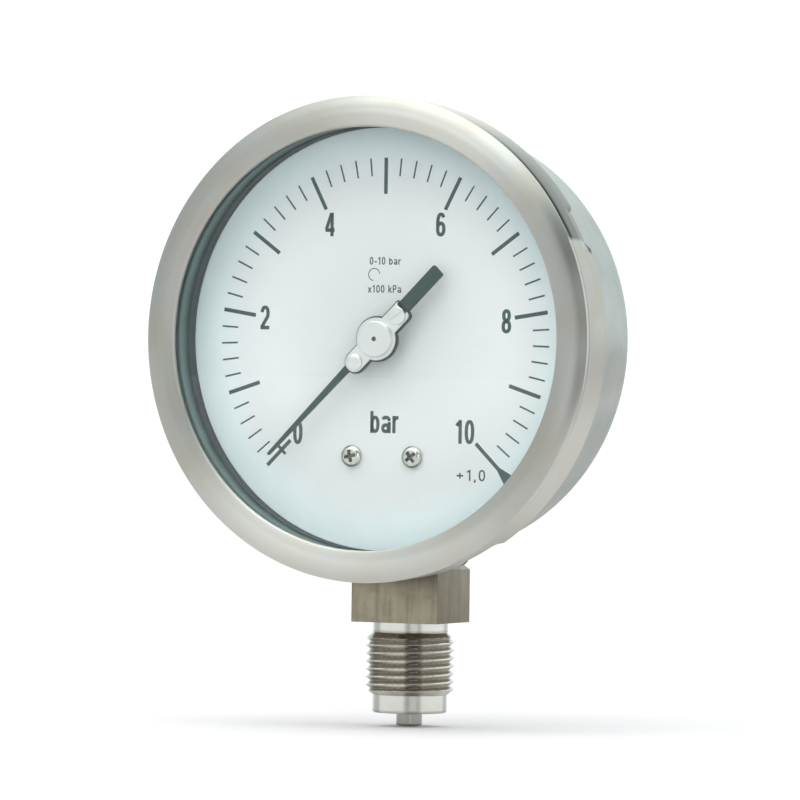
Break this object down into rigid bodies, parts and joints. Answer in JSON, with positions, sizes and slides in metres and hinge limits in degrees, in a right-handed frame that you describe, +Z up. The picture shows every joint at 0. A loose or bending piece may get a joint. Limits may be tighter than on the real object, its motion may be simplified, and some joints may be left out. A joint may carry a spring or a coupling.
{
  "type": "pressure gauge",
  "caption": "Bourdon-tube pressure gauge with a round bayonet-ring case, a white dial, a black pointer and a threaded stem at the bottom.",
  "frame": {"origin": "centre of the stem's sealing end face", "axes": "+Z up along the stem towards the dial, the dial faces -Y, +X to the reader's right"},
  "size_m": [0.1118, 0.0428, 0.1454],
  "materials": {
    "stainless_ring": "fine satin turned",
    "stainless_case": "fine brushed",
    "brass": "machined, slightly dull",
    "stainless_socket": "machined, warm grey",
    "steel": "plain",
    "zinc": "bright zinc plated",
    "satin_silver": "satin",
    "blade_black": "satin black",
    "dial_white": "matt white enamel",
    "rubber": "matt",
    "gasket": "matt grey",
    "glass": "clear polished",
    "spring_bronze": "rolled strip",
    "stainless_tube": "drawn tube"
  },
  "bodies": {
    "case": {"case_shell": "stainless_case", "window": "glass", "window_gasket": "gasket", "socket": "stainless_socket", "socket_seal": "rubber", "tube_holder": "stainless_tube", "case_screws": "zinc", "blowout_plug": "rubber", "dial": "dial_white", "dial_screws": "zinc", "dial_posts": "brass", "movement_front_plate": "brass", "movement_back_plate": "brass", "movement_pillars": "brass", "plate_screws": "steel", "movement_screws": "steel", "hairspring": "spring_bronze", "hairspring_stud": "brass", "bourdon_tube": "stainless_tube"},
    "ring": {"bayonet_ring": "stainless_ring"},
    "pointer": {"pinion_arbor": "steel", "hairspring_collet": "brass", "pointer_bush": "satin_silver", "pointer_plate": "satin_silver", "pointer_rivet": "steel"},
    "blade": {"pointer_blade": "blade_black"},
    "trim": {"trim_screw": "zinc"},
    "sector": {"sector_gear": "brass", "sector_arbor": "steel", "sector_tail_pin": "steel"},
    "link": {"link": "brass"},
    "tube_end": {"tube_tip": "stainless_tube", "tip_pin": "steel"}
  },
  "joints": [
    {"name": "pointer_turn", "type": "hinge", "parent": "case", "child": "pointer", "pos_m": [0, 0, 0.0865], "axis": [0, 1, 0], "range_deg": [0, 270], "deforming": ["hairspring"]},
    {"name": "sector_swing", "type": "hinge", "parent": "case", "child": "sector", "pos_m": [0, 0, 0.07], "axis": [0, 1, 0], "range_deg": [-27, 0]},
    {"name": "tip_flex", "type": "hinge", "parent": "case", "child": "tube_end", "pos_m": [-0.006, 0, 0.0995], "axis": [0, 1, 0], "range_deg": [-5.72, 0], "deforming": ["bourdon_tube"]},
    {"name": "link_swing", "type": "hinge", "parent": "tube_end", "child": "link", "pos_m": [0.02109, 0, 0.07518], "axis": [0, 1, 0], "range_deg": [0, 2.86]},
    {"name": "pointer_trim", "type": "hinge", "parent": "pointer", "child": "blade", "pos_m": [0, 0, 0.0865], "axis": [0, 1, 0], "range_deg": [-3, 3]},
    {"name": "trim_screw_turn", "type": "hinge", "parent": "pointer", "child": "trim", "pos_m": [0.00537, 0, 0.09187], "axis": [0, 1, 0], "range_deg": [-180, 180]},
    {"name": "ring_twist", "type": "hinge", "parent": "case", "child": "ring", "pos_m": [0, 0, 0.0865], "axis": [0, -1, 0], "range_deg": [0, 20]}
  ],
  "couplings": [
    {"joint": "sector_swing", "follows": "pointer_turn", "ratio": -0.1},
    {"joint": "tip_flex", "follows": "pointer_turn", "ratio": -0.021111},
    {"joint": "link_swing", "follows": "pointer_turn", "ratio": 0.010556},
    {"joint": "trim_screw_turn", "follows": "pointer_trim", "ratio": -60}
  ]
}
